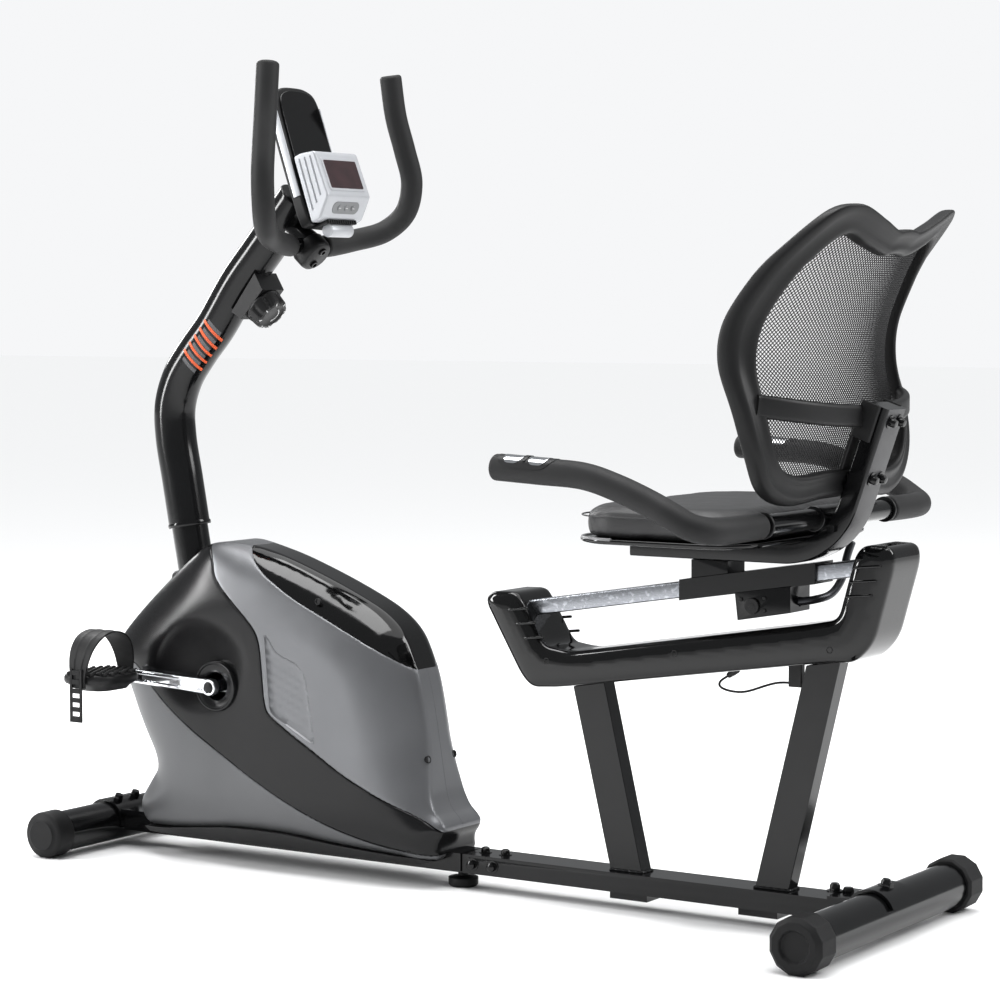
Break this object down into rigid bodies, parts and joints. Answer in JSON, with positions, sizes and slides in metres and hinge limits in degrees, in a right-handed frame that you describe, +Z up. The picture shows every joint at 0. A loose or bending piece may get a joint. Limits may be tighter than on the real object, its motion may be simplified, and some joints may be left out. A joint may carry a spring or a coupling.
{
  "type": "recumbent exercise bike",
  "caption": "Home recumbent exercise bike: belt driven magnetic flywheel under covers, sliding mesh backed seat on a sloping rail, seat and mast handlebars, console and strap pedals.",
  "frame": {"origin": "middle of the machine's length and width, on the floor", "axes": "+Z up; +X towards the seat end, so the rider faces -X; +Y the rider's right"},
  "size_m": [1.2596, 0.6356, 1.0806],
  "materials": {
    "black_steel": "gloss black powder coat",
    "steel": "machined steel",
    "chrome": "bright chrome",
    "rail_metal": "brushed, scuffed where the carriage runs",
    "band_black": "satin dark grey moulding",
    "silver_panel": "metallic silver lacquer",
    "foot_grey": "satin mid grey lacquer",
    "gloss_black": "piano black",
    "black_plastic": "fine grained moulding",
    "rubber": "soft black rubber",
    "foam": "closed cell foam grip",
    "vinyl": "dark grey ribbed vinyl",
    "mesh_cloth": "open woven mesh",
    "console_silver": "satin silver moulding",
    "lens": "dark tinted window"
  },
  "bodies": {
    "frame": {"base_rail_front": "black_steel", "base_rail_rear": "black_steel", "front_stabilizer": "black_steel", "rear_stabilizer": "black_steel", "front_leg": "black_steel", "rear_leg": "black_steel", "seat_beam": "black_steel", "lower_post": "black_steel", "upper_mast": "black_steel", "mast_collar": "rubber", "clamp_cap": "black_plastic", "knob_housing": "black_plastic", "console_holder": "black_plastic", "console_housing": "console_silver", "console_lens": "lens", "shroud_left": "band_black", "shroud_right": "band_black", "side_panel_left": "silver_panel", "side_panel_right": "silver_panel", "foot_cover": "foot_grey", "top_cover": "gloss_black", "bottom_pan": "black_plastic", "drive_belt": "rubber", "seat_rail": "rail_metal", "rail_cover": "gloss_black", "sensor_cable": "rubber"},
    "front_roller_left": {"front_roller_left": "rubber"},
    "front_roller_right": {"front_roller_right": "rubber"},
    "rear_cap_left": {"rear_cap_left": "rubber"},
    "rear_cap_right": {"rear_cap_right": "rubber"},
    "centre_foot": {"centre_foot": "rubber"},
    "handlebar": {"handlebar": "black_steel", "handlebar_foam_left": "foam", "handlebar_foam_right": "foam"},
    "button_mode": {"button_mode": "black_plastic"},
    "button_set": {"button_set": "black_plastic"},
    "button_reset": {"button_reset": "black_plastic"},
    "tension_knob": {"tension_knob": "black_plastic"},
    "magnet_arm": {"magnet_arm": "steel"},
    "crank": {"crank_axle": "steel", "crank_arm_left": "chrome", "crank_arm_right": "chrome"},
    "pedal_left": {"pedal_left": "black_plastic", "pedal_strap_left": "rubber"},
    "pedal_right": {"pedal_right": "black_plastic", "pedal_strap_right": "rubber"},
    "flywheel": {"flywheel": "steel"},
    "seat": {"seat_carriage": "black_steel", "seat_pan": "gloss_black", "seat_cushion": "vinyl", "back_post": "black_steel", "backrest_frame": "black_plastic", "backrest_mesh": "mesh_cloth", "lumbar_mesh": "mesh_cloth", "seat_handlebar": "black_steel", "seat_grip_left": "foam", "seat_grip_right": "foam", "pulse_sensor_left": "chrome", "pulse_sensor_right": "chrome"},
    "lock_lever": {"lock_lever": "steel"}
  },
  "joints": [
    {"name": "crank_spin", "type": "hinge", "parent": "frame", "child": "crank", "pos_m": [-0.35915, 0, 0.247], "axis": [0, 1, 0], "continuous": true},
    {"name": "pedal_left_spin", "type": "hinge", "parent": "crank", "child": "pedal_left", "pos_m": [-0.49915, -0.151, 0.254], "axis": [0, 1, 0], "continuous": true},
    {"name": "pedal_right_spin", "type": "hinge", "parent": "crank", "child": "pedal_right", "pos_m": [-0.21915, 0.151, 0.24], "axis": [0, 1, 0], "continuous": true},
    {"name": "flywheel_spin", "type": "hinge", "parent": "frame", "child": "flywheel", "pos_m": [-0.19415, 0, 0.212], "axis": [0, 1, 0], "continuous": true},
    {"name": "tension_knob_turn", "type": "hinge", "parent": "frame", "child": "tension_knob", "pos_m": [-0.33566, 0, 0.76285], "axis": [0.745, 0, -0.667], "range_deg": [0, 270]},
    {"name": "magnet_arm_swing", "type": "hinge", "parent": "frame", "child": "magnet_arm", "pos_m": [-0.09815, 0, 0.296], "axis": [0, 1, 0], "range_deg": [-2, 0]},
    {"name": "handlebar_tilt", "type": "hinge", "parent": "frame", "child": "handlebar", "pos_m": [-0.25915, 0, 0.842], "axis": [0, 1, 0], "range_deg": [-20, 15]},
    {"name": "front_roller_left_spin", "type": "hinge", "parent": "frame", "child": "front_roller_left", "pos_m": [-0.59785, -0.148, 0.032], "axis": [0, 1, 0], "continuous": true},
    {"name": "front_roller_right_spin", "type": "hinge", "parent": "frame", "child": "front_roller_right", "pos_m": [-0.59785, 0.148, 0.032], "axis": [0, 1, 0], "continuous": true},
    {"name": "rear_cap_left_turn", "type": "hinge", "parent": "frame", "child": "rear_cap_left", "pos_m": [0.59585, -0.207, 0.034], "axis": [0, 1, 0], "range_deg": [-90, 90]},
    {"name": "rear_cap_right_turn", "type": "hinge", "parent": "frame", "child": "rear_cap_right", "pos_m": [0.59585, 0.207, 0.034], "axis": [0, 1, 0], "range_deg": [-90, 90]},
    {"name": "centre_foot_screw", "type": "hinge", "parent": "frame", "child": "centre_foot", "pos_m": [-0.00815, 0, 0.005], "axis": [0, 0, 1], "continuous": true},
    {"name": "seat_slide", "type": "slide", "parent": "frame", "child": "seat", "axis": [0.9874, 0, 0.158], "range_m": [-0.2, 0.03]},
    {"name": "lock_lever_pull", "type": "hinge", "parent": "seat", "child": "lock_lever", "pos_m": [0.48385, 0, 0.403], "axis": [0.9874, 0, 0.158], "range_deg": [-25, 0], "stiffness_Nm_per_rad": 0.8, "springref_deg": 20.05},
    {"name": "button_mode_press", "type": "slide", "parent": "frame", "child": "button_mode", "axis": [-0.9067, 0, 0.4217], "range_m": [0, 0.0015], "stiffness_N_per_m": 300, "springref_m": -0.0004},
    {"name": "button_set_press", "type": "slide", "parent": "frame", "child": "button_set", "axis": [-0.9067, 0, 0.4217], "range_m": [0, 0.0015], "stiffness_N_per_m": 300, "springref_m": -0.0004},
    {"name": "button_reset_press", "type": "slide", "parent": "frame", "child": "button_reset", "axis": [-0.9067, 0, 0.4217], "range_m": [0, 0.0015], "stiffness_N_per_m": 300, "springref_m": -0.0004}
  ],
  "couplings": [
    {"joint": "flywheel_spin", "follows": "crank_spin", "ratio": 4.2609},
    {"joint": "magnet_arm_swing", "follows": "tension_knob_turn", "ratio": -0.007407}
  ]
}
